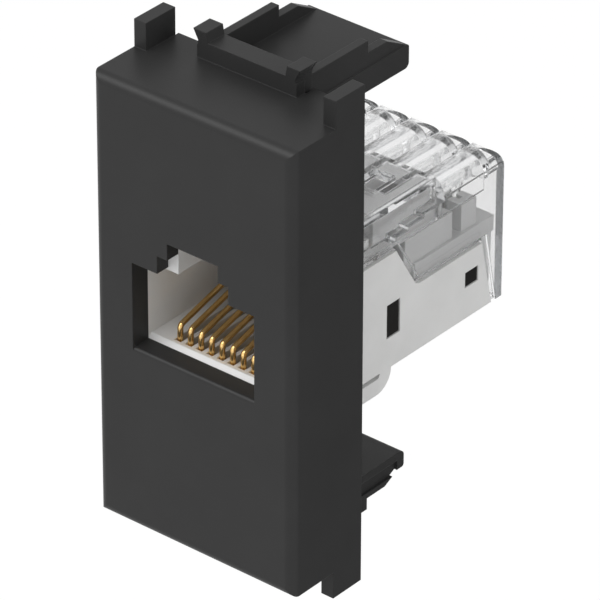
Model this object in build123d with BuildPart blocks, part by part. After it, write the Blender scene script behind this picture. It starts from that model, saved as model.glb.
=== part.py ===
from build123d import *
import os
from math import cos, radians, sin

# Keystone jack for an eight-way plug, held in a one-module wall insert.
# Millimetres. X runs to the right seen from the front, Y runs back and Z is up.
# The origin is the centre of the insert's front face.

# Insert: a black face with skirts, moulded in one piece
cover_width = 19.0
cover_height = 38.0
overall_depth = 27.3  # from the insert's face to the back of the wire cap
face_wall = 1.75
skirt_wall = 1.2
skirt_depth = 8.0
roof_overrun = 0.35  # between the lugs, the top and bottom walls run this much further back
face_rounding = 0.8

# How far before the part's back each thing at its rear stands or ends
housing_top_inset = 2.5
housing_foot_inset = 1.27
rear_window_insets = (4.5, 2.93)
carrier_inset = 1.6
board_inset = 1.7
pin_row_insets = (7.4, 6.0)
ridge_inset = 7.1
front_tower_insets = (5.3, 8.1)  # the towers' rear, then their blades
rear_tower_insets = (4.2, 2.4, 3.3)  # the towers' front and rear, then their blades

# Corner lugs that stop the insert against the frame
lug_thickness = 1.15
lug_height = 2.3
lug_front = 4.75

# Way in for the plug through the insert, from its sill upwards
port_width = 11.7
port_height = 7.3
port_sill = -3.1
latch_way_width = 6.8
latch_way_height = 1.5
latch_slot_width = 4.84
latch_slot_height = 1.4
sill_rounding = 0.3

# Frame clips above and below the insert
clip_offset = -0.29
clip_width = 9.4
clip_front = 6.5
clip_root = 0.15  # how far the clip walls sink into the tongue
clip_bar_height = 1.45
clip_bar_depth = 1.85
clip_bar_inset = 0.1
hook_width = 1.25
hook_stem = 0.95
hook_reach = 0.45
hook_height = 2.27
clip_wall = 0.85
tongue_end = 19.38
tongue_rounding = 0.45
tongue_edge_rounding = 0.25
# For each clip, heights from the insert's edge: the tongue's inner and outer face, its rear lip,
# then the walls' tall part, low part and tip
top_heights = (-3.0, -1.05, -1.05, 1.1, 0.1, -1.05)
bottom_heights = (-1.6, -0.95, -0.12, 1.65, 0.66, -0.12)
# and how far back the tall part, the low part and the tip of the walls reach
top_reaches = (14.75, 17.0, 19.1)
bottom_reaches = (14.95, 17.1, 18.65)
lip_length = 0.8
# and how deep the walls are set in from the tongue's side, how far back and up to what height
top_recess = (0.12, tongue_end, hook_height)
bottom_recess = (0.28, tongue_end - lip_length, 0.2)

# Jack housing: white moulding
jack_width = 14.7
jack_bottom = -6.2
jack_wall = 1.2
block_top = 8.6
block_rear = 10.2
shoulder_top = 3.6
shoulder_rear = 14.5
rear_top = -0.45
slope_foot = 16.95
rear_top_end = overall_depth - housing_top_inset
rear_foot_end = overall_depth - housing_foot_inset
slope_rounding = 0.9
housing_rounding = 0.25
port_floor = -2.75
port_floor_thickness = 0.6
port_floor_bevel = 0.35
port_rear = 13.05
port_ceiling = 3.95
brow_front = 1.25  # the housing's brow over the port sits in a pocket of the insert
brow_bottom = 3.3
brow_top = 7.9
brow_clearance = 0.1
latch_ledge_rear = 4.4  # the plug's latch hooks behind the two ledges beside its slot
latch_way_rear = 8.8
roof_tongue_width = 10.8
roof_tongue_thickness = 0.8
roof_tongue_gap = 0.05

# Catch windows in the housing's sides: front, rear, bottom and top of each
front_window = (13.46, 15.0, -3.56, -0.67)
rear_window = (*[overall_depth - inset for inset in rear_window_insets], -3.5, -2.17)
boss_clearance = 0.06
boss_recess = 0.08

# Latch lever under the housing
lever_root = 12.3
lever_slot_radius = 0.37
lever_thickness = 1.35
lever_front = 4.2
catch_height = 0.95
catch_length = 1.4
fixed_catch_width = 8.0

# Shelves in the insert that hold the jack
shelf_wall = 1.2
shelf_depth = 4.3
shelf_clearance = 0.15

# Contacts
contact_count = 8
contact_pitch = 1.02
wire_radius = 0.23
wire_bend = 0.36
wire_front = 2.72
wire_bend_height = 1.2  # above the port floor
wire_run_drop = 1.5  # below the port floor
wire_rise_angle = 15.0
wire_slot_width = 0.64
wire_slot_rear = 10.6
first_pin_row, second_pin_row = [overall_depth - inset for inset in pin_row_insets]
pin_hole_clearance = 0.12
wire_sides = 8

# Carrier, board and terminal block inside the housing
inner_clearance = 0.05
carrier_wall = 1.15
carrier_wall_top = 3.3
carrier_step_length = 2.05
carrier_step_rear = port_rear + carrier_step_length
carrier_step_top = -0.6
carrier_top = -1.75
carrier_rear = overall_depth - carrier_inset
comb_depth = 0.7
comb_bottom = -2.4
comb_top = 2.6
board_thickness = 1.0
board_clearance = 0.1
board_front = carrier_step_rear + board_clearance
board_rear = overall_depth - board_inset
block_base_top = 1.0
tower_top = 3.3
# each row of towers: its front, its rear and where its blades stand
tower_setback = 1.2  # how far behind the board's front the first row starts
tower_rows = (
    (board_front + tower_setback, *[overall_depth - inset for inset in front_tower_insets]),
    tuple(overall_depth - inset for inset in rear_tower_insets),
)
deck_front = 13.4  # the deck lies over the front towers, close under the cap's raised top
deck_clearance = 0.1
flange_front = 17.3
slot_pitch = 2.94
slot_count = 4
wire_slot_gap = 0.75
blade_thickness = 0.35
blade_width = 1.9
blade_fork = 0.35
blade_drop = 0.2
blade_pin_width = 0.5

# Clear wire cap
cap_front = 10.35
cap_wall = 0.9
cap_top_wall = 0.8
cap_rear_wall = 0.45
cap_seam = 0.1
cap_seam_band = 0.45
cap_seam_recess = 0.2
cap_ledge_width = 0.95
cap_crown = 7.0
cap_roof = 0.9
ridge_radius = 1.4
ridge_count = 5
ridge_front = overall_depth - ridge_inset
ridge_runout = 1.0
valley_height = 0.1  # the run-out ends this much above the ridges' centre
ridge_end_rounding = 1.9
ridge_hollow = 0.7
ridge_ceiling = 4.7
ridge_shell = 0.5  # the ridges are thin where they end over the space behind the towers
rear_space = 1.05  # how long that space is
ledge_thickness = 0.7
# the ledge's three steps: how far before the ridges each starts, and its height
ledge_step_insets = (5.8, 4.3, 2.5)
ledge_step_heights = (4.75, 5.0, 5.3)
ledge_steps = [(ridge_front - back, high) for back, high in zip(ledge_step_insets, ledge_step_heights)]
window_inner = 2.1
window_width = 2.0
window_inset = 4.4  # how far before the ridges the windows start
window_front = ridge_front - window_inset
window_length = 2.6
pusher_thickness = 0.5
pusher_bottom = 1.9
pusher_notch = 1.0
pusher_root = 0.2

same_place = 0.01  # edges closer than this to a place are taken to be there

half_jack = jack_width / 2
half_cover_height = cover_height / 2
inner_width = jack_width - 2 * jack_wall
carrier_width = inner_width - 2 * inner_clearance
cap_top_width = jack_width - 2 * cap_ledge_width
cap_rear = overall_depth
cap_inner_rear = cap_rear - cap_rear_wall
rear_space_front = cap_inner_rear - rear_space
cap_ceiling = cap_crown - cap_roof
cap_inner_width = jack_width - 2 * cap_wall
cap_top_inner = cap_top_width - 2 * cap_top_wall
slot_places = [slot_pitch * (n - (slot_count - 1) / 2) for n in range(slot_count)]
ridge_places = [slot_pitch * (n - (ridge_count - 1) / 2) for n in range(ridge_count)]
contact_places = [contact_pitch * (n - (contact_count - 1) / 2) for n in range(contact_count)]
pin_rows = [first_pin_row if n % 2 == 0 else second_pin_row for n in range(contact_count)]
latch_way_base = port_sill + port_height
latch_slot_top = latch_way_base + latch_way_height + latch_slot_height
housing_floor = jack_bottom + jack_wall
ridge_base = cap_crown - ridge_radius
board_bottom = carrier_top + inner_clearance
board_top = board_bottom + board_thickness
block_bottom = board_top + inner_clearance
blade_top = tower_top - blade_drop
carrier_front = port_rear + inner_clearance
lever_top = jack_bottom - lever_slot_radius
lever_bottom = lever_top - lever_thickness


def back_plane(y):
    # A sketch plane facing the front, y behind the insert's face: extrude by a minus to go back
    return Plane.XZ.offset(-y)


def edges_across(part, y, z):
    # The part's edges that run along X through one place
    across = part.edges().filter_by(Axis.X)
    level = across.filter_by_position(Axis.Y, y - same_place, y + same_place)
    return level.filter_by_position(Axis.Z, z - same_place, z + same_place)


def frame_clip(side, heights, reaches, recess):
    # A clip on the insert's top (side 1) or bottom (side -1): front bar with two hooks, a tongue
    # that runs back to a rounded lip, and its two stepped side walls
    inner, outer, lip, tall, low, tip = heights
    tall_end, low_end, tip_end = reaches
    recess_depth, recess_rear, recess_top = recess
    edge = half_cover_height

    def seen_from_side(outline):
        return [(y, side * (edge + z)) for y, z in outline]

    def side_strip(front, rear, low, high):
        Polygon(*seen_from_side(((front, low), (rear, low), (rear, high), (front, high))))

    with BuildSketch(Plane.YZ.offset(clip_offset)) as tongue:
        side_strip(clip_front, tongue_end, inner, outer)
        side_strip(tongue_end - lip_length, tongue_end, inner, lip)
        inner_corner, lip_corner = seen_from_side(((tongue_end, inner), (tongue_end, lip)))
        fillet(tongue.vertices().sort_by_distance(inner_corner)[0], tongue_rounding)
        fillet(tongue.vertices().sort_by_distance(lip_corner)[0], tongue_edge_rounding)
    extrude(tongue.sketch, amount=clip_width / 2, both=True)
    root_front = clip_front + clip_bar_depth / 2
    wall_outline = (
        (root_front, outer - clip_root),
        (root_front, 0.0),
        (clip_front, 0.0),
        (clip_front, tall),
        (tall_end, tall),
        (tall_end, low),
        (low_end, low),
        (tip_end, tip),
        (tip_end, outer - clip_root),
    )
    for direction in (-1, 1):
        wall_place = clip_offset + direction * (clip_width - clip_wall) / 2
        with BuildSketch(Plane.YZ.offset(wall_place)) as wall:
            Polygon(*seen_from_side(wall_outline))
        extrude(wall.sketch, amount=clip_wall / 2, both=True)
        with BuildSketch(Plane.YZ.offset(clip_offset + direction * clip_width / 2)) as recess_band:
            side_strip(root_front, recess_rear, outer, recess_top)
        extrude(recess_band.sketch, amount=recess_depth, both=True, mode=Mode.SUBTRACT)
    bar_half = clip_width / 2 - clip_bar_inset
    with BuildSketch(back_plane(clip_front)) as bar:
        with Locations((clip_offset, side * (edge + clip_bar_height / 2))):
            Rectangle(2 * bar_half, clip_bar_height)
        for lean in (-1, 1):
            hook = (
                (bar_half, clip_bar_height),
                (bar_half + hook_reach, hook_height),
                (bar_half + hook_reach - hook_width, hook_height),
                (bar_half - hook_stem, clip_bar_height),
                (bar_half - hook_stem, 0),
                (bar_half, 0),
            )
            Polygon(*[(clip_offset + lean * x, side * (edge + z)) for x, z in hook])
    extrude(bar.sketch, amount=-clip_bar_depth)


with BuildPart() as face_plate:
    with BuildSketch(back_plane(0)):
        Rectangle(cover_width, cover_height)
    extrude(amount=-skirt_depth)
    with BuildSketch(back_plane(skirt_depth)):
        for side in (-1, 1):
            with Locations((0, side * (cover_height - skirt_wall) / 2)):
                Rectangle(cover_width - 2 * lug_thickness, skirt_wall)
    extrude(amount=-roof_overrun)
    fillet(face_plate.faces().sort_by(Axis.Y)[0].edges(), face_rounding)
    with BuildSketch(back_plane(face_wall)):
        Rectangle(cover_width - 2 * skirt_wall, cover_height - 2 * skirt_wall)
    extrude(amount=-(skirt_depth + roof_overrun - face_wall), mode=Mode.SUBTRACT)
    with BuildSketch(back_plane(lug_front)):
        for x in (-1, 1):
            for z in (-1, 1):
                lug_place = x * (cover_width - lug_thickness) / 2, z * (cover_height + lug_height) / 2
                with Locations(lug_place):
                    Rectangle(lug_thickness, lug_height)
    extrude(amount=-(skirt_depth - lug_front))
    # shelves above and below the jack, from one skirt to the other
    with BuildSketch(back_plane(face_wall)):
        with Locations((0, block_top + shelf_clearance)):
            Rectangle(cover_width - 2 * skirt_wall, shelf_wall, align=(Align.CENTER, Align.MIN))
        with Locations((0, lever_bottom - shelf_clearance)):
            Rectangle(cover_width - 2 * skirt_wall, shelf_wall, align=(Align.CENTER, Align.MAX))
    extrude(amount=-shelf_depth)
    frame_clip(1, top_heights, top_reaches, top_recess)
    frame_clip(-1, bottom_heights, bottom_reaches, bottom_recess)
    # way in for the plug's body, its latch's shoulders and its latch's lever
    with BuildSketch(back_plane(0)):
        with Locations((0, port_sill)):
            Rectangle(port_width, port_height, align=(Align.CENTER, Align.MIN))
        with Locations((0, latch_way_base)):
            Rectangle(latch_way_width, latch_way_height, align=(Align.CENTER, Align.MIN))
        with Locations((0, latch_way_base)):
            Rectangle(latch_slot_width, latch_slot_top - latch_way_base, align=(Align.CENTER, Align.MIN))
    extrude(amount=-face_wall, mode=Mode.SUBTRACT)
    # pocket behind it for the housing's brow
    with BuildSketch(back_plane(brow_front)):
        with Locations((0, brow_bottom - brow_clearance)):
            pocket_height = brow_top - brow_bottom + 2 * brow_clearance
            Rectangle(jack_width + 2 * brow_clearance, pocket_height, align=(Align.CENTER, Align.MIN))
    extrude(amount=-(face_wall - brow_front), mode=Mode.SUBTRACT)
    fillet(edges_across(face_plate, 0, port_sill), sill_rounding)
face_plate.part.label = "face_plate"


with BuildPart() as jack_housing:
    with BuildSketch(Plane.YZ):
        body_side = Polygon(
            (face_wall, jack_bottom),
            (rear_foot_end, jack_bottom),
            (rear_top_end, rear_top),
            (slope_foot, rear_top),
            (shoulder_rear, shoulder_top),
            (block_rear, shoulder_top),
            (block_rear, block_top),
            (face_wall, block_top),
        )
        corners = body_side.vertices()
        fillet(corners.sort_by_distance((slope_foot, rear_top))[0], slope_rounding)
        fillet(corners.sort_by_distance((block_rear, block_top))[0], housing_rounding)
        fillet(corners.sort_by_distance((rear_foot_end, jack_bottom))[0], housing_rounding)
    extrude(amount=half_jack, both=True)
    with BuildSketch(back_plane(brow_front)):
        with Locations((0, brow_bottom)):
            Rectangle(jack_width, brow_top - brow_bottom, align=(Align.CENTER, Align.MIN))
    extrude(amount=-(block_rear / 2 - brow_front))
    # trough for the carrier, open at the top and rear
    with BuildSketch(back_plane(port_rear)):
        with Locations((0, housing_floor)):
            Rectangle(inner_width, block_top - housing_floor, align=(Align.CENTER, Align.MIN))
    extrude(amount=-(cap_rear - port_rear), mode=Mode.SUBTRACT)
    # plug cavity, with the latch's slot above it and room for its shoulders behind the ledges
    with BuildSketch(back_plane(brow_front)):
        with Locations((0, port_floor)):
            Rectangle(port_width, port_ceiling - port_floor, align=(Align.CENTER, Align.MIN))
    extrude(amount=-(port_rear - brow_front), mode=Mode.SUBTRACT)
    with BuildSketch(back_plane(brow_front)):
        with Locations((0, port_ceiling)):
            Rectangle(latch_slot_width, latch_slot_top - port_ceiling, align=(Align.CENTER, Align.MIN))
    extrude(amount=-(latch_way_rear - brow_front), mode=Mode.SUBTRACT)
    with BuildSketch(back_plane(latch_ledge_rear)):
        with Locations((0, port_ceiling)):
            shoulder_room = latch_way_base + latch_way_height - port_ceiling
            Rectangle(latch_way_width, shoulder_room, align=(Align.CENTER, Align.MIN))
    extrude(amount=-(latch_way_rear - latch_ledge_rear), mode=Mode.SUBTRACT)
    # roof over the rear of the cavity
    with BuildSketch(back_plane(block_rear)):
        with Locations((0, port_ceiling + roof_tongue_gap)):
            Rectangle(roof_tongue_width, roof_tongue_thickness, align=(Align.CENTER, Align.MIN))
    extrude(amount=-(port_rear - block_rear))
    # space for the wires under the cavity floor, and their slots through it
    channel_width = contact_pitch * (contact_count - 1) + wire_slot_width
    channel_top = port_floor - port_floor_thickness
    slot_front = wire_front - wire_slot_width / 2
    with BuildSketch(back_plane(slot_front)):
        with Locations((0, housing_floor)):
            Rectangle(channel_width, channel_top - housing_floor, align=(Align.CENTER, Align.MIN))
    extrude(amount=-(port_rear - slot_front), mode=Mode.SUBTRACT)
    with BuildSketch(Plane.XY.offset(port_floor)):
        for x in contact_places:
            with Locations((x, slot_front)):
                Rectangle(wire_slot_width, wire_slot_rear - slot_front, align=(Align.CENTER, Align.MIN))
    extrude(amount=-port_floor_thickness, mode=Mode.SUBTRACT)
    # catch windows through both sides
    with BuildSketch(Plane.YZ):
        for front, rear, bottom, top in (front_window, rear_window):
            with Locations(((front + rear) / 2, (bottom + top) / 2)):
                Rectangle(rear - front, top - bottom)
    extrude(amount=half_jack, both=True, mode=Mode.SUBTRACT)
    # latch lever: springs from the floor, bends forward in a quarter circle and ends in a catch
    with BuildSketch(Plane.YZ):
        lever_bend = lever_slot_radius + lever_thickness
        with Locations((lever_root, jack_bottom)):
            Circle(lever_bend)
            Rectangle(lever_bend, lever_bend, align=(Align.MIN, Align.MAX), mode=Mode.INTERSECT)
            Circle(lever_slot_radius, mode=Mode.SUBTRACT)
        with Locations((lever_root, lever_top)):
            Rectangle(lever_root - lever_front, lever_thickness, align=(Align.MAX, Align.MAX))
        catch_front = face_wall + shelf_depth + shelf_clearance
        Polygon(
            (catch_front, lever_bottom),
            (catch_front, lever_bottom - catch_height),
            (catch_front + catch_length / 2, lever_bottom - catch_height),
            (catch_front + catch_length, lever_bottom),
        )
    extrude(amount=half_jack, both=True)
    # fixed catch on the roof of the block
    with BuildSketch(Plane.YZ):
        Polygon(
            (catch_front, block_top),
            (catch_front, block_top + catch_height),
            (catch_front + catch_length / 2, block_top + catch_height),
            (catch_front + catch_length, block_top),
        )
    extrude(amount=fixed_catch_width / 2, both=True)
    chamfer(edges_across(jack_housing, face_wall, port_floor), port_floor_bevel)
jack_housing.part.label = "jack_housing"


with BuildPart() as contact_carrier:
    carrier_bottom = housing_floor + inner_clearance
    with BuildSketch(Plane.YZ):
        Polygon(
            (carrier_front, carrier_bottom),
            (carrier_rear, carrier_bottom),
            (carrier_rear, carrier_top),
            (carrier_step_rear, carrier_top),
            (carrier_step_rear, carrier_step_top),
            (carrier_front + carrier_wall, carrier_step_top),
            (carrier_front + carrier_wall, carrier_wall_top),
            (carrier_front, carrier_wall_top),
        )
    extrude(amount=carrier_width / 2, both=True)
    # bosses that fill the catch windows
    with BuildSketch(Plane.YZ):
        for front, rear, bottom, top in (front_window, rear_window):
            with Locations(((front + rear) / 2, (bottom + top) / 2)):
                Rectangle(rear - front - 2 * boss_clearance, top - bottom - 2 * boss_clearance)
    extrude(amount=half_jack - boss_recess, both=True)
    # comb in the front wall, and grooves below for the wires
    with BuildSketch(back_plane(carrier_front)):
        for x in contact_places:
            with Locations((x, (comb_bottom + comb_top) / 2)):
                Rectangle(wire_slot_width, comb_top - comb_bottom)
    extrude(amount=-comb_depth, mode=Mode.SUBTRACT)
    groove_top = port_floor - wire_run_drop + wire_slot_width / 2
    for x, pin_row in zip(contact_places, pin_rows):
        with BuildSketch(Plane.XY.offset(carrier_bottom)):
            with Locations((x, carrier_front)):
                groove_length = pin_row + wire_slot_width / 2 - carrier_front
                Rectangle(wire_slot_width, groove_length, align=(Align.CENTER, Align.MIN))
        extrude(amount=groove_top - carrier_bottom, mode=Mode.SUBTRACT)
        with BuildSketch(Plane.XY.offset(carrier_top)):
            with Locations((x, pin_row)):
                Rectangle(wire_slot_width, wire_slot_width)
        extrude(amount=groove_top - carrier_top, mode=Mode.SUBTRACT)
contact_carrier.part.label = "contact_carrier"


with BuildPart() as circuit_board:
    with BuildSketch(Plane.XY.offset(board_bottom)):
        with Locations((0, board_front)):
            Rectangle(carrier_width, board_rear - board_front, align=(Align.CENTER, Align.MIN))
        for x, pin_row in zip(contact_places, pin_rows):
            with Locations((x, pin_row)):
                Circle(wire_radius + pin_hole_clearance, mode=Mode.SUBTRACT)
        for front, rear, blade_place in tower_rows:
            for x in slot_places:
                with Locations((x, blade_place)):
                    Circle(blade_pin_width / 2 + pin_hole_clearance, mode=Mode.SUBTRACT)
    extrude(amount=board_thickness)
circuit_board.part.label = "circuit_board"


def contact_wire(x, pin_row):
    # One spring wire: up through the board, forward under the floor, up, and back over the port
    run = port_floor - wire_run_drop
    bend = port_floor + wire_bend_height
    end = carrier_front + comb_depth / 2
    rise = (end - wire_front) * sin(radians(wire_rise_angle)) / cos(radians(wire_rise_angle))
    with BuildPart() as wire:
        with BuildLine(Plane.YZ.offset(x)) as path:
            FilletPolyline(
                (pin_row, board_top - inner_clearance),
                (pin_row, run),
                (wire_front, run),
                (wire_front, bend),
                (end, bend + rise),
                radius=wire_bend,
            )
        with BuildSketch(Plane(origin=path.line @ 0, z_dir=path.line % 0)):
            RegularPolygon(wire_radius, wire_sides)
        sweep()
    return wire


def terminal_blade(x, blade_place):
    # One forked blade: a pin through the board and a slot that cuts the wire's insulation
    blade_bottom = block_bottom + inner_clearance
    with BuildPart() as blade:
        with BuildSketch(back_plane(blade_place - blade_thickness / 2)):
            with Locations((x, blade_bottom)):
                Rectangle(blade_width, blade_top - blade_bottom, align=(Align.CENTER, Align.MIN))
                Rectangle(blade_pin_width, blade_bottom - board_bottom, align=(Align.CENTER, Align.MAX))
            with Locations((x, blade_top)):
                fork_depth = blade_top - block_base_top - blade_fork
                Rectangle(blade_fork, fork_depth, align=(Align.CENTER, Align.MAX), mode=Mode.SUBTRACT)
            with BuildLine():
                Polyline(
                    (x - blade_fork, blade_top),
                    (x, blade_top - 2 * blade_fork),
                    (x + blade_fork, blade_top),
                    close=True,
                )
            make_face(mode=Mode.SUBTRACT)
        extrude(amount=-blade_thickness)
    return blade


with BuildPart() as terminal_block:
    with BuildSketch(Plane.XY.offset(block_bottom)):
        with Locations((0, board_front)):
            Rectangle(carrier_width, board_rear - board_front, align=(Align.CENTER, Align.MIN))
    extrude(amount=block_base_top - block_bottom)
    # flange over the housing's low walls, and an apron that closes the trough behind the carrier
    flange_bottom = rear_top + cap_seam
    block_rear_face = cap_inner_rear - deck_clearance
    with BuildSketch(Plane.XY.offset(flange_bottom)):
        with Locations((0, flange_front)):
            flange_width = cap_inner_width - 2 * deck_clearance
            Rectangle(flange_width, block_rear_face - flange_front, align=(Align.CENTER, Align.MIN))
    extrude(amount=block_base_top - flange_bottom)
    apron_bottom = housing_floor + inner_clearance
    with BuildSketch(Plane.XY.offset(apron_bottom)):
        with Locations((0, carrier_rear + inner_clearance)):
            apron_thickness = block_rear_face - carrier_rear - inner_clearance
            Rectangle(carrier_width, apron_thickness, align=(Align.CENTER, Align.MIN))
    extrude(amount=block_base_top - apron_bottom)
    # two rows of towers, and the deck over the front ones
    with BuildSketch(Plane.XY.offset(block_base_top)):
        for front, rear, blade_place in tower_rows:
            with Locations((0, (front + rear) / 2)):
                Rectangle(carrier_width, rear - front)
    extrude(amount=tower_top - block_base_top)
    deck_bottom = carrier_wall_top + deck_clearance
    deck_top = cap_ceiling - deck_clearance
    deck_rear = ridge_front - deck_clearance
    deck_width = cap_top_inner - 2 * deck_clearance
    with BuildSketch(Plane.XY.offset(deck_bottom)):
        with Locations((0, deck_front)):
            Rectangle(deck_width, deck_rear - deck_front, align=(Align.CENTER, Align.MIN))
    extrude(amount=deck_top - deck_bottom)
    with BuildSketch(Plane.XY.offset(tower_top)):
        with Locations((0, tower_rows[0][0])):
            Rectangle(deck_width, deck_rear - tower_rows[0][0], align=(Align.CENTER, Align.MIN))
    extrude(amount=deck_bottom - tower_top)
    # slots for the wires, through towers and deck
    with BuildSketch(Plane.XY.offset(block_base_top)):
        for front, rear, blade_place in tower_rows:
            for x in slot_places:
                with Locations((x, (front + rear) / 2)):
                    Rectangle(wire_slot_gap, rear - front)
    extrude(amount=deck_top - block_base_top, mode=Mode.SUBTRACT)
    # pockets for the blades, right through
    with BuildSketch(Plane.XY.offset(block_bottom)):
        for front, rear, blade_place in tower_rows:
            for x in slot_places:
                with Locations((x, blade_place)):
                    Rectangle(blade_width + 2 * inner_clearance, blade_thickness + 2 * inner_clearance)
    extrude(amount=tower_top - block_bottom, mode=Mode.SUBTRACT)
terminal_block.part.label = "terminal_block"


def rear_round(radius):
    # The corner that is left out where the cap's top turns down into its rear wall
    with Locations((cap_rear - ridge_end_rounding, cap_crown - ridge_end_rounding)):
        Rectangle(2 * ridge_end_rounding, 2 * ridge_end_rounding, align=(Align.MIN, Align.MIN))
        Circle(radius, mode=Mode.SUBTRACT)


with BuildPart() as ridge_space:
    # the space under the ridges' ends, a shell's thickness inside the cap's outer form
    with BuildSketch(back_plane(rear_space_front)):
        for x in ridge_places:
            with Locations((x, ridge_base)):
                Circle(ridge_radius - ridge_shell)
                Rectangle(2 * (ridge_radius - ridge_shell), 2 * ridge_shell)
        with Locations((0, ridge_base - ridge_shell)):
            space_height = ridge_base - ridge_shell - shoulder_top
            Rectangle(cap_inner_width, space_height, align=(Align.CENTER, Align.MAX))
    extrude(amount=-rear_space)
    with BuildSketch(Plane.YZ):
        rear_round(ridge_end_rounding - cap_rear_wall)
    extrude(amount=half_jack, both=True, mode=Mode.SUBTRACT)


with BuildPart() as wire_cap:
    # side view of the walls: they meet the housing along its stepped upper edge
    def cap_side(seam):
        Polygon(
            (cap_front, shoulder_top + seam),
            (shoulder_rear + seam / 2, shoulder_top + seam),
            (slope_foot + seam / 2, rear_top + seam),
            (rear_top_end + seam, rear_top + seam),
            (rear_foot_end + seam, jack_bottom),
            (cap_rear, jack_bottom),
            (cap_rear, ridge_base),
            (ridge_front, ridge_base),
            (ridge_front, ledge_steps[2][1]),
            (ledge_steps[2][0], ledge_steps[2][1]),
            (ledge_steps[2][0], ledge_steps[1][1]),
            (ledge_steps[1][0], ledge_steps[1][1]),
            (ledge_steps[1][0], ledge_steps[0][1]),
            (ledge_steps[0][0], ledge_steps[0][1]),
            (ledge_steps[0][0], shoulder_top + cap_seam + ledge_thickness),
            (cap_front, shoulder_top + cap_seam + ledge_thickness),
        )

    with BuildSketch(Plane.YZ):
        cap_side(cap_seam + cap_seam_band)
    extrude(amount=half_jack, both=True)
    with BuildSketch(Plane.YZ):
        cap_side(cap_seam)
    extrude(amount=half_jack - cap_seam_recess, both=True)
    # raised top, which runs out into the ridges behind it
    with BuildSketch(Plane.YZ):
        runout_end = ridge_front + ridge_runout
        Polygon(
            (cap_front, shoulder_top + cap_seam),
            (runout_end, shoulder_top + cap_seam),
            (runout_end, ridge_base + valley_height),
            (ridge_front, cap_crown),
            (cap_front, cap_crown),
        )
    extrude(amount=cap_top_width / 2, both=True)
    with BuildSketch(back_plane(ridge_front)):
        for x in ridge_places:
            with Locations((x, ridge_base)):
                Circle(ridge_radius)
    extrude(amount=-(cap_rear - ridge_front))
    # the ridges and the rear wall's top end in one round
    with BuildSketch(Plane.YZ):
        rear_round(ridge_end_rounding)
    extrude(amount=half_jack + cap_wall, both=True, mode=Mode.SUBTRACT)
    # hollow inside, in three parts
    shoulder_inside = shoulder_top + cap_seam
    with BuildSketch(back_plane(cap_front)):
        with Locations((0, shoulder_inside)):
            Rectangle(cap_inner_width, shoulder_inside - jack_bottom, align=(Align.CENTER, Align.MAX))
    extrude(amount=-(cap_inner_rear - cap_front), mode=Mode.SUBTRACT)
    with BuildSketch(back_plane(cap_front)):
        with Locations((0, shoulder_inside)):
            Rectangle(cap_top_inner, cap_ceiling - shoulder_inside, align=(Align.CENTER, Align.MIN))
    extrude(amount=-(ridge_front - cap_front), mode=Mode.SUBTRACT)
    with BuildSketch(back_plane(ridge_front)):
        with Locations((0, shoulder_inside)):
            Rectangle(cap_inner_width, ridge_ceiling - shoulder_inside, align=(Align.CENTER, Align.MIN))
    extrude(amount=-(cap_inner_rear - ridge_front), mode=Mode.SUBTRACT)
    with BuildSketch(back_plane(ridge_front)):
        for x in ridge_places:
            with Locations((x, ridge_base - ridge_hollow / 2)):
                Circle(ridge_hollow)
                Rectangle(2 * ridge_hollow, ridge_hollow * 2, align=(Align.CENTER, Align.MAX))
    extrude(amount=-(rear_space_front - ridge_shell - ridge_front), mode=Mode.SUBTRACT)
    add(ridge_space.part, mode=Mode.SUBTRACT)
    # two windows in the raised top
    with BuildSketch(Plane.XY.offset(cap_crown)):
        for side in (-1, 1):
            with Locations((side * (window_inner + window_width / 2), window_front + window_length / 2)):
                Rectangle(window_width, window_length)
    extrude(amount=-2 * cap_roof, mode=Mode.SUBTRACT)
    # ribs that press the wires into the forks, with a gap for each blade
    with BuildSketch(Plane.XY.offset(pusher_bottom)):
        for front, rear, blade_place in tower_rows:
            for x in slot_places:
                with Locations((x, (front + rear) / 2)):
                    Rectangle(pusher_thickness, rear - front)
                with Locations((x, blade_place)):
                    Rectangle(2 * pusher_thickness, pusher_notch, mode=Mode.SUBTRACT)
    extrude(amount=ridge_ceiling + pusher_root - pusher_bottom)
    with BuildSketch(Plane.XY.offset(ridge_ceiling)):
        for x in slot_places:
            with Locations((x, tower_rows[0][0])):
                rib_length = ridge_front + pusher_root - tower_rows[0][0]
                Rectangle(pusher_thickness, rib_length, align=(Align.CENTER, Align.MIN))
    extrude(amount=cap_ceiling + pusher_root - ridge_ceiling)
wire_cap.part.label = "wire_cap"


os.makedirs("parts", exist_ok=True)
export_step(face_plate.part, "parts/face_plate.step")
export_step(jack_housing.part, "parts/jack_housing.step")
export_step(contact_carrier.part, "parts/contact_carrier.step")
export_step(circuit_board.part, "parts/circuit_board.step")
export_step(terminal_block.part, "parts/terminal_block.step")
export_step(wire_cap.part, "parts/wire_cap.step")

for number, (x, pin_row) in enumerate(zip(contact_places, pin_rows), start=1):
    wire = contact_wire(x, pin_row)
    wire.part.label = f"contact_wire_{number}"
    export_step(wire.part, f"parts/contact_wire_{number}.step")

blade_places = [(x, row[2]) for row in tower_rows for x in slot_places]
for number, (x, blade_place) in enumerate(blade_places, start=1):
    blade = terminal_blade(x, blade_place)
    blade.part.label = f"terminal_blade_{number}"
    export_step(blade.part, f"parts/terminal_blade_{number}.step")
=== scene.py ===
import math

import bpy
from mathutils import Euler, Matrix, Vector


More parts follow.
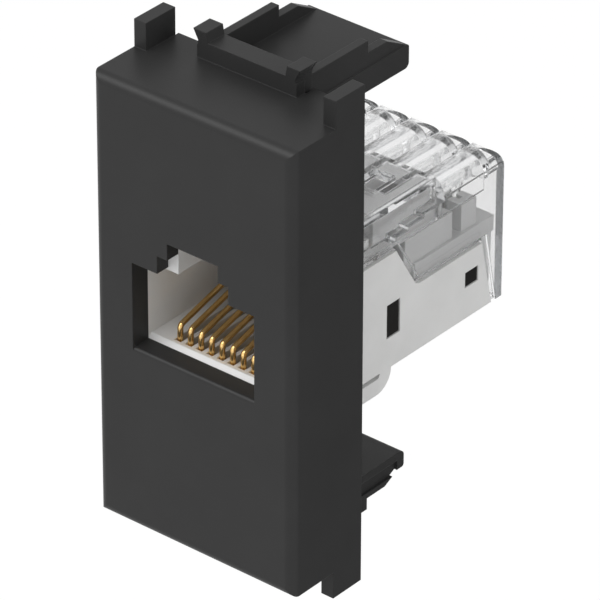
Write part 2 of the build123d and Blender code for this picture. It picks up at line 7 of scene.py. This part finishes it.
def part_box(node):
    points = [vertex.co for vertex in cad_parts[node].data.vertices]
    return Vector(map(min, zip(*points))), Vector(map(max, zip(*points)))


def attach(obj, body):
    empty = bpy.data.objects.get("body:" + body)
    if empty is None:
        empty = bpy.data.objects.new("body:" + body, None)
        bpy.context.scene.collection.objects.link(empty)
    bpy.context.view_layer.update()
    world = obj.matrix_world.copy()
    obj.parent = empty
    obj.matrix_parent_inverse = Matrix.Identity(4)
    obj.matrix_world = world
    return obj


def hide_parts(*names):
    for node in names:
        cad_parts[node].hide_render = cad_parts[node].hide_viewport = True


print("keystone jack: loading the frame")
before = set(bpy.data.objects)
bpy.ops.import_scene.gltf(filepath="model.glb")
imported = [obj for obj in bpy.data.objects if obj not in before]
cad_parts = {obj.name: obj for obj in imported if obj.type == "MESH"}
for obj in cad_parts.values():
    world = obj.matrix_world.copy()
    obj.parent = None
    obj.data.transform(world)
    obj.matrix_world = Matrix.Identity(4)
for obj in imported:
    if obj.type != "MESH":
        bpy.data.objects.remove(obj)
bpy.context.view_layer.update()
scene = bpy.context.scene
millimetre = 0.001


def linearColour(hexCode):
    # sRGB hex, as a paint chart gives it, turned to the linear values that shaders take
    channels = []
    for start in (1, 3, 5):
        value = int(hexCode[start:start + 2], 16) / 255
        channels.append(value / 12.92 if value <= 0.04045 else ((value + 0.055) / 1.055) ** 2.4)
    return (*channels, 1.0)


def addNode(tree, kind, settings=None, stops=(), **inputs):
    # inputs are values, or (node, output) pairs to link; a socket's spaces are written as underscores,
    # n0, n1 and so on are sockets by number, and stops are a colour ramp's places and hex colours
    node = tree.nodes.new(kind)
    for name, value in (settings or {}).items():
        setattr(node, name, value)
    for number, (place, hexCode) in enumerate(stops):
        node.color_ramp.elements[number].position = place
        node.color_ramp.elements[number].color = linearColour(hexCode)
    for name, value in inputs.items():
        key = int(name[1:]) if name[0] == "n" and name[1:].isdigit() else name.replace("_", " ")
        if isinstance(value, tuple) and len(value) == 2 and isinstance(value[0], bpy.types.Node):
            tree.links.new(value[0].outputs[value[1]], node.inputs[key])
        else:
            node.inputs[key].default_value = value
    return node


def newMaterial(name):
    material = bpy.data.materials.new(name)
    material.use_nodes = True
    material.node_tree.nodes.clear()
    return material, material.node_tree


def textureScale(size):
    # texture nodes take cells per metre, and sizes here are in millimetres
    return 1 / (size * millimetre)


grainDetail = 2.0  # octaves of noise in fine grain and lines
cloudDetail = 3.0  # and in broad clouds of colour
darkEnd, lightEnd = 0.3, 0.7  # nearly all of a noise's values lie between these
bevelSamples = 6


def mouldedSkin(tree, spec, grain):
    # grain as bump, on edges that catch the light as rounded ones do
    rounded = addNode(tree, "ShaderNodeBevel", {"samples": bevelSamples},
                      Radius=spec["edgeRadius"] * millimetre)
    return addNode(tree, "ShaderNodeBump", Strength=spec["grainStrength"],
                   Distance=spec["grainHeight"] * millimetre, Height=(grain, "Fac"),
                   Normal=(rounded, "Normal"))


blackPolycarbonate = {
    "colour": "#393939",
    "shade": "#363636",
    "cloudSize": 6.0,  # mm
    "cloudContrast": 0.6,
    "grainSize": 0.16,  # mm, coarser than the real spark-eroded grain so that it shows
    "grainContrast": 0.55,
    "grainHeight": 0.004,  # mm
    "grainStrength": 0.35,
    "edgeRadius": 0.10,  # mm
    "roughness": (0.37, 0.47),  # from least to most
    "ior": 1.58,
    "specular": 0.1,
}
blackPolyamide = {**blackPolycarbonate, "colour": "#242322", "shade": "#201F1E"}  # darker and warmer


def makeBlackMoulding(spec, name):
    # moulded in a spark-eroded tool: an even satin black with no mirror gloss
    material, tree = newMaterial(name)
    place = addNode(tree, "ShaderNodeTexCoord")
    grain = addNode(tree, "ShaderNodeTexNoise", Vector=(place, "Object"),
                    Scale=textureScale(spec["grainSize"]), Detail=grainDetail,
                    Roughness=spec["grainContrast"])
    clouds = addNode(tree, "ShaderNodeTexNoise", Vector=(place, "Object"),
                     Scale=textureScale(spec["cloudSize"]), Detail=cloudDetail,
                     Roughness=spec["cloudContrast"])
    colour = addNode(tree, "ShaderNodeValToRGB", Fac=(clouds, "Fac"),
                     stops=[(darkEnd, spec["shade"]), (lightEnd, spec["colour"])])
    least, most = spec["roughness"]
    gloss = addNode(tree, "ShaderNodeMapRange", Value=(grain, "Fac"), To_Min=least, To_Max=most)
    skin = mouldedSkin(tree, spec, grain)
    shader = addNode(tree, "ShaderNodeBsdfPrincipled", Base_Color=(colour, "Color"),
                     Roughness=(gloss, "Result"), IOR=spec["ior"],
                     Specular_IOR_Level=spec["specular"], Normal=(skin, "Normal"))
    addNode(tree, "ShaderNodeOutputMaterial", Surface=(shader, "BSDF"))
    return material


whitePolyester = {
    "colour": "#EEEEED",
    "shade": "#E6E6E5",
    "cloudSize": 4.0,  # mm
    "grainSize": 0.2,  # mm
    "grainHeight": 0.003,  # mm
    "grainStrength": 0.25,
    "edgeRadius": 0.12,  # mm
    "roughness": 0.38,
    "ior": 1.55,
    "specular": 0.4,
}


def makeWhitePolyester(spec):
    # PBT, moulded in a ground tool: dense white with a soft sheen
    material, tree = newMaterial("whitePolyesterMoulded")
    place = addNode(tree, "ShaderNodeTexCoord")
    grain = addNode(tree, "ShaderNodeTexNoise", Vector=(place, "Object"),
                    Scale=textureScale(spec["grainSize"]), Detail=grainDetail)
    clouds = addNode(tree, "ShaderNodeTexNoise", Vector=(place, "Object"),
                     Scale=textureScale(spec["cloudSize"]), Detail=cloudDetail)
    colour = addNode(tree, "ShaderNodeValToRGB", Fac=(clouds, "Fac"),
                     stops=[(darkEnd, spec["shade"]), (lightEnd, spec["colour"])])
    skin = mouldedSkin(tree, spec, grain)
    shader = addNode(tree, "ShaderNodeBsdfPrincipled", Base_Color=(colour, "Color"),
                     Roughness=spec["roughness"], IOR=spec["ior"],
                     Specular_IOR_Level=spec["specular"], Normal=(skin, "Normal"))
    addNode(tree, "ShaderNodeOutputMaterial", Surface=(shader, "BSDF"))
    return material


goldPlate = {
    "colour": "#E6C184",
    "dull": "#D3AC6A",
    "drawLines": 0.05,  # mm apart
    "drawStretch": (1.0, 0.08, 0.3),  # how the pattern is drawn out along the wire's runs
    "roughness": (0.10, 0.22),
}


def makeGoldPlate(spec):
    # gold over nickel on drawn phosphor bronze wire: warm, bright, with faint lines along the draw
    material, tree = newMaterial("goldPlatedBronzeWire")
    place = addNode(tree, "ShaderNodeTexCoord")
    stretched = addNode(tree, "ShaderNodeMapping", Vector=(place, "Object"), Scale=spec["drawStretch"])
    lines = addNode(tree, "ShaderNodeTexNoise", Vector=(stretched, "Vector"),
                    Scale=textureScale(spec["drawLines"]), Detail=grainDetail)
    colour = addNode(tree, "ShaderNodeValToRGB", Fac=(lines, "Fac"),
                     stops=[(darkEnd, spec["dull"]), (lightEnd, spec["colour"])])
    least, most = spec["roughness"]
    gloss = addNode(tree, "ShaderNodeMapRange", Value=(lines, "Fac"), To_Min=least, To_Max=most)
    shader = addNode(tree, "ShaderNodeBsdfPrincipled", Base_Color=(colour, "Color"), Metallic=1.0,
                     Roughness=(gloss, "Result"))
    addNode(tree, "ShaderNodeOutputMaterial", Surface=(shader, "BSDF"))
    return material


tinPlate = {
    "colour": "#D9D7D2",
    "dull": "#BDBBB6",
    "streakSize": 0.08,  # mm
    "streakStretch": (1.0, 1.0, 0.1),  # streaks run up and down the blades
    "roughness": 0.28,
}


def makeTinPlate(spec):
    # tin over stamped bronze: pale grey metal, brushed by the stamping tool
    material, tree = newMaterial("tinPlatedStampedBronze")
    place = addNode(tree, "ShaderNodeTexCoord")
    stretched = addNode(tree, "ShaderNodeMapping", Vector=(place, "Object"), Scale=spec["streakStretch"])
    streaks = addNode(tree, "ShaderNodeTexNoise", Vector=(stretched, "Vector"),
                      Scale=textureScale(spec["streakSize"]), Detail=grainDetail)
    colour = addNode(tree, "ShaderNodeValToRGB", Fac=(streaks, "Fac"),
                     stops=[(darkEnd, spec["dull"]), (lightEnd, spec["colour"])])
    shader = addNode(tree, "ShaderNodeBsdfPrincipled", Base_Color=(colour, "Color"), Metallic=1.0,
                     Roughness=spec["roughness"])
    addNode(tree, "ShaderNodeOutputMaterial", Surface=(shader, "BSDF"))
    return material


clearPolycarbonate = {
    "colour": "#FEFEFE",
    "grainSize": 3.0,  # mm, soft flow marks in place of grain
    "grainHeight": 0.006,  # mm
    "grainStrength": 0.2,
    "edgeRadius": 0.12,  # mm
    "roughness": (0.0, 0.02),
    "ior": 1.58,
    "clearness": 0.995,  # the rest of the light is scattered by the haze in the plastic
    "depthColour": "#B4B6B8",
    "depthDensity": 110.0,  # per metre: long ways through the plastic look grey
}


def makeClearPolycarbonate(spec):
    # moulded clear, a little hazy, with flow marks that bend what is seen through it
    material, tree = newMaterial("clearPolycarbonatePolished")
    place = addNode(tree, "ShaderNodeTexCoord")
    flow = addNode(tree, "ShaderNodeTexNoise", Vector=(place, "Object"),
                   Scale=textureScale(spec["grainSize"]), Detail=grainDetail)
    least, most = spec["roughness"]
    gloss = addNode(tree, "ShaderNodeMapRange", Value=(flow, "Fac"), To_Min=least, To_Max=most)
    skin = mouldedSkin(tree, spec, flow)
    shader = addNode(tree, "ShaderNodeBsdfPrincipled", Base_Color=linearColour(spec["colour"]),
                     Roughness=(gloss, "Result"), IOR=spec["ior"],
                     Transmission_Weight=spec["clearness"], Normal=(skin, "Normal"))
    depth = addNode(tree, "ShaderNodeVolumeAbsorption", Color=linearColour(spec["depthColour"]),
                    Density=spec["depthDensity"])
    addNode(tree, "ShaderNodeOutputMaterial", Surface=(shader, "BSDF"), Volume=(depth, "Volume"))
    return material


naturalPolycarbonate = {
    "colour": "#E2E2E2",
    "grainSize": 0.15,  # mm
    "grainHeight": 0.004,  # mm
    "grainStrength": 0.25,
    "roughness": 0.35,
    "ior": 1.58,
    "clearness": 0.1,
}


def makeNaturalPolycarbonate(spec):
    # undyed, from an unpolished tool: milky, with a little light passing through its thin fins
    material, tree = newMaterial("naturalPolycarbonateMoulded")
    place = addNode(tree, "ShaderNodeTexCoord")
    grain = addNode(tree, "ShaderNodeTexNoise", Vector=(place, "Object"),
                    Scale=textureScale(spec["grainSize"]), Detail=grainDetail)
    skin = addNode(tree, "ShaderNodeBump", Strength=spec["grainStrength"],
                   Distance=spec["grainHeight"] * millimetre, Height=(grain, "Fac"))
    shader = addNode(tree, "ShaderNodeBsdfPrincipled", Base_Color=linearColour(spec["colour"]),
                     Roughness=spec["roughness"], IOR=spec["ior"],
                     Transmission_Weight=spec["clearness"], Normal=(skin, "Normal"))
    addNode(tree, "ShaderNodeOutputMaterial", Surface=(shader, "BSDF"))
    return material


circuitLaminate = {
    "mask": "#1F6B3A",
    "shadow": "#18562F",
    "weave": 0.35,  # mm
    "roughness": 0.3,
    "ior": 1.5,
}


def makeCircuitLaminate(spec):
    # FR4 glass laminate under green solder mask: the weave shows as a fine check
    material, tree = newMaterial("greenMaskedGlassLaminate")
    place = addNode(tree, "ShaderNodeTexCoord")
    weave = addNode(tree, "ShaderNodeTexChecker", Vector=(place, "Object"),
                    Scale=textureScale(spec["weave"]))
    # a mix node's sockets share their names, so they go by number: 0 is the share, 6 and 7 the colours
    colour = addNode(tree, "ShaderNodeMix", {"data_type": "RGBA"}, n0=(weave, "Fac"),
                     n6=linearColour(spec["mask"]), n7=linearColour(spec["shadow"]))
    shader = addNode(tree, "ShaderNodeBsdfPrincipled", Base_Color=(colour, 2),
                     Roughness=spec["roughness"], IOR=spec["ior"])
    addNode(tree, "ShaderNodeOutputMaterial", Surface=(shader, "BSDF"))
    return material


print("keystone jack: making the materials")
finishes = {
    "black": makeBlackMoulding(blackPolycarbonate, "blackPolycarbonateMoulded"),
    "carrier": makeBlackMoulding(blackPolyamide, "blackPolyamideMoulded"),
    "white": makeWhitePolyester(whitePolyester),
    "gold": makeGoldPlate(goldPlate),
    "tin": makeTinPlate(tinPlate),
    "clear": makeClearPolycarbonate(clearPolycarbonate),
    "natural": makeNaturalPolycarbonate(naturalPolycarbonate),
    "board": makeCircuitLaminate(circuitLaminate),
}
nodeFinishes = {
    "face_plate": "black",
    "jack_housing": "white",
    "contact_carrier": "carrier",
    "circuit_board": "board",
    "terminal_block": "natural",
    "wire_cap": "clear",
}
for name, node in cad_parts.items():
    finish = nodeFinishes.get(name, "tin")  # tin for the blades; the wires are drawn again in gold
    node.data.materials.clear()
    node.data.materials.append(finishes[finish])


# the solids of the contact wires have eight flat sides, so a round wire on the same line replaces each
contactWire = {
    "bendRadius": 0.36,  # mm, at the middle of the wire
    "bendSteps": 6,
    "pinDrop": 0.05,  # mm, the pin stops this far below the board's top
    "endReach": 0.35,  # mm, how far the front end runs into the carrier's comb
    "riseAngle": 15.0,  # degrees
    "roundness": 3,  # the curve's bevel resolution
}


def roundedRoute(corners, radius, steps):
    # the corners joined by straight runs, with an arc at each corner inside the route
    route = [corners[0]]
    for before, corner, after in zip(corners, corners[1:], corners[2:]):
        towardsBefore = (before - corner).normalized()
        towardsAfter = (after - corner).normalized()
        halfAngle = towardsBefore.angle(towardsAfter) / 2
        centre = corner + (towardsBefore + towardsAfter).normalized() * radius / math.sin(halfAngle)
        first = corner + towardsBefore * radius / math.tan(halfAngle) - centre
        last = corner + towardsAfter * radius / math.tan(halfAngle) - centre
        sweep = first.angle(last)
        for step in range(steps + 1):
            done = sweep * step / steps
            arm = (first * math.sin(sweep - done) + last * math.sin(done)) / math.sin(sweep)
            route.append(centre + arm)
    route.append(corners[-1])
    return route


def makeContactWire(number, spec, material):
    name = f"contact_wire_{number}"
    low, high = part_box(name)
    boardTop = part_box("circuit_board")[1].z
    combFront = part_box("contact_carrier")[0].y
    radius = (high.x - low.x) / 2
    centreX = (low.x + high.x) / 2
    rise = math.radians(spec["riseAngle"])
    wireEnd = combFront + spec["endReach"] * millimetre
    wireFront = low.y + radius
    endHeight = high.z - radius * math.cos(rise)
    bendHeight = endHeight - (wireEnd - wireFront) * math.tan(rise)
    pinPlace = high.y - radius
    runHeight = low.z + radius
    corners = [
        Vector((centreX, pinPlace, boardTop - spec["pinDrop"] * millimetre)),
        Vector((centreX, pinPlace, runHeight)),
        Vector((centreX, wireFront, runHeight)),
        Vector((centreX, wireFront, bendHeight)),
        Vector((centreX, wireEnd, endHeight)),
    ]
    route = roundedRoute(corners, spec["bendRadius"] * millimetre, spec["bendSteps"])
    data = bpy.data.curves.new(f"roundWire{number}", "CURVE")
    data.dimensions = "3D"
    data.bevel_depth = radius
    data.bevel_resolution = spec["roundness"]
    data.use_fill_caps = True
    spline = data.splines.new("POLY")
    spline.points.add(len(route) - 1)
    for point, place in zip(spline.points, route):
        point.co = (*place, 1.0)  # a spline's points have their weight as a fourth value
    data.materials.append(material)
    wire = bpy.data.objects.new(f"roundWire{number}", data)
    scene.collection.objects.link(wire)
    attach(wire, "jack")
    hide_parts(name)


print("keystone jack: drawing the contact wires")
contactCount = sum(name.startswith("contact_wire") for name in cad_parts)
for number in range(1, contactCount + 1):
    makeContactWire(number, contactWire, finishes["gold"])


# white surroundings for the eye, a dimmer fill for the light
studio = {
    "white": "#FFFFFF",
    "paper": "#F2F2F2",
    "fill": 0.44,  # how much light comes from all round
    "floorDrop": 0.09,  # metres from the origin down to the floor
    "floorSize": 4.0,  # metres
    "floorGlow": 0.88,  # the rest of the floor's look is lit paper, which takes the shadow
    "glowStrength": 1.06,  # with the lit paper's share this comes to white
    "bounces": 32,  # light is guided a long way along the clear cap's walls
}


def seenDirectly(tree):
    # 1 for rays that the eye, a metal or a clear plastic sends out, 0 for diffuse light
    path = addNode(tree, "ShaderNodeLightPath")
    first = addNode(tree, "ShaderNodeMath", {"operation": "MAXIMUM"}, n0=(path, "Is Camera Ray"),
                    n1=(path, "Is Glossy Ray"))
    return addNode(tree, "ShaderNodeMath", {"operation": "MAXIMUM"}, n0=(first, 0),
                   n1=(path, "Is Transmission Ray"))


def makeSquare(name, size, material):
    # a level square round the origin, for the stage
    half = size / 2
    mesh = bpy.data.meshes.new(name)
    mesh.from_pydata([(-half, -half, 0), (half, -half, 0), (half, half, 0), (-half, half, 0)],
                     [], [(0, 1, 2, 3)])
    mesh.materials.append(material)
    square = bpy.data.objects.new(name, mesh)
    scene.collection.objects.link(square)
    return square


def makeWorld(spec):
    world = bpy.data.worlds.new("paleStudio")
    scene.world = world
    world.use_nodes = True
    tree = world.node_tree
    tree.nodes.clear()
    seen = seenDirectly(tree)
    strength = addNode(tree, "ShaderNodeMapRange", Value=(seen, 0), To_Min=spec["fill"], To_Max=1.0)
    glow = addNode(tree, "ShaderNodeBackground", Color=linearColour(spec["white"]),
                   Strength=(strength, "Result"))
    addNode(tree, "ShaderNodeOutputWorld", Surface=(glow, 0))


def makeFloor(spec):
    # a sweep of matt paper: white to the eye, with a faint shadow
    material, tree = newMaterial("whitePaperSweep")
    paper = addNode(tree, "ShaderNodeBsdfDiffuse", Color=linearColour(spec["paper"]))
    glow = addNode(tree, "ShaderNodeEmission", Color=linearColour(spec["white"]),
                   Strength=spec["glowStrength"])
    seen = seenDirectly(tree)
    share = addNode(tree, "ShaderNodeMath", {"operation": "MULTIPLY"}, n0=(seen, 0), n1=spec["floorGlow"])
    mixed = addNode(tree, "ShaderNodeMixShader", n0=(share, 0), n1=(paper, 0), n2=(glow, 0))
    addNode(tree, "ShaderNodeOutputMaterial", Surface=(mixed, 0))
    floor = makeSquare("studioFloor", spec["floorSize"], material)
    floor.location.z = -spec["floorDrop"]


# in metres, low at the right rear, where gloss and clear plastic would else show only white
greyFlag = {"place": (0.055, 0.075, -0.05), "size": 0.12, "colour": "#7A7A7A"}


def makeFlag(spec):
    # a photographer's flag, seen only in reflections: it gives them a darker side
    material, tree = newMaterial("greyFlagCloth")
    cloth = addNode(tree, "ShaderNodeBsdfDiffuse", Color=linearColour(spec["colour"]))
    addNode(tree, "ShaderNodeOutputMaterial", Surface=(cloth, "BSDF"))
    card = makeSquare("greyFlag", spec["size"], material)
    card.location = spec["place"]
    card.rotation_euler = Vector(spec["place"]).to_track_quat("Z", "Y").to_euler()
    card.visible_camera = False
    card.visible_diffuse = False
    card.visible_transmission = False
    card.visible_shadow = False


# where each lamp stands and its size, in metres, and its power in watts; sheen shows only in reflections
lamps = {
    "key": {"place": (-0.54, -0.52, 0.66), "size": 0.8, "power": 1.0},
    "high": {"place": (0.0, -0.6, 0.8), "size": 0.5, "power": 2.0},
    "low": {"place": (0.0, -0.98, 0.2), "size": 0.5, "power": 1.1},
    "side": {"place": (0.9, 0.15, 0.35), "size": 0.5, "power": 1.7},
    "sheen": {"place": (-0.54, -0.52, 0.66), "size": 0.6, "power": 8.0, "diffuse": False},
}


def makeLamp(name, spec):
    light = bpy.data.lights.new(name, "AREA")
    light.shape = "SQUARE"
    light.size = spec["size"]
    light.energy = spec["power"]
    lamp = bpy.data.objects.new(name, light)
    scene.collection.objects.link(lamp)
    lamp.location = spec["place"]
    lamp.rotation_euler = (-Vector(spec["place"])).to_track_quat("-Z", "Y").to_euler()
    lamp.visible_diffuse = spec.get("diffuse", True)


# where the photograph was taken from, fitted to the insert's edges
photoCamera = {
    "place": (0.248789, -0.287824, 0.236385),  # metres
    "azimuth": 39.662,  # degrees round from the front, towards the right
    "elevation": 31.497,
    "roll": 0.138,
    "lens": 367.8,  # mm
    "sensorWidth": 36.0,  # mm
    "nearest": 0.01,  # metres, what is nearer or farther isn't drawn
    "farthest": 20.0,
}


def makeCamera(spec):
    data = bpy.data.cameras.new("photoCamera")
    data.sensor_width = spec["sensorWidth"]
    data.lens = spec["lens"]
    data.clip_start = spec["nearest"]
    data.clip_end = spec["farthest"]
    camera = bpy.data.objects.new("photoCamera", data)
    scene.collection.objects.link(camera)
    tilt = math.radians(90 - spec["elevation"])
    turn = Euler((tilt, 0, math.radians(spec["azimuth"]))).to_matrix().to_4x4()
    roll = Matrix.Rotation(math.radians(spec["roll"]), 4, "Z")
    camera.matrix_world = Matrix.Translation(spec["place"]) @ turn @ roll
    scene.camera = camera


print("keystone jack: setting the stage")
makeWorld(studio)
makeFloor(studio)
makeFlag(greyFlag)
for name, spec in lamps.items():
    makeLamp(name, spec)
makeCamera(photoCamera)
scene.view_settings.view_transform = "Standard"
scene.cycles.max_bounces = studio["bounces"]
scene.cycles.transmission_bounces = studio["bounces"]
scene.cycles.glossy_bounces = studio["bounces"]

print("keystone jack: done")
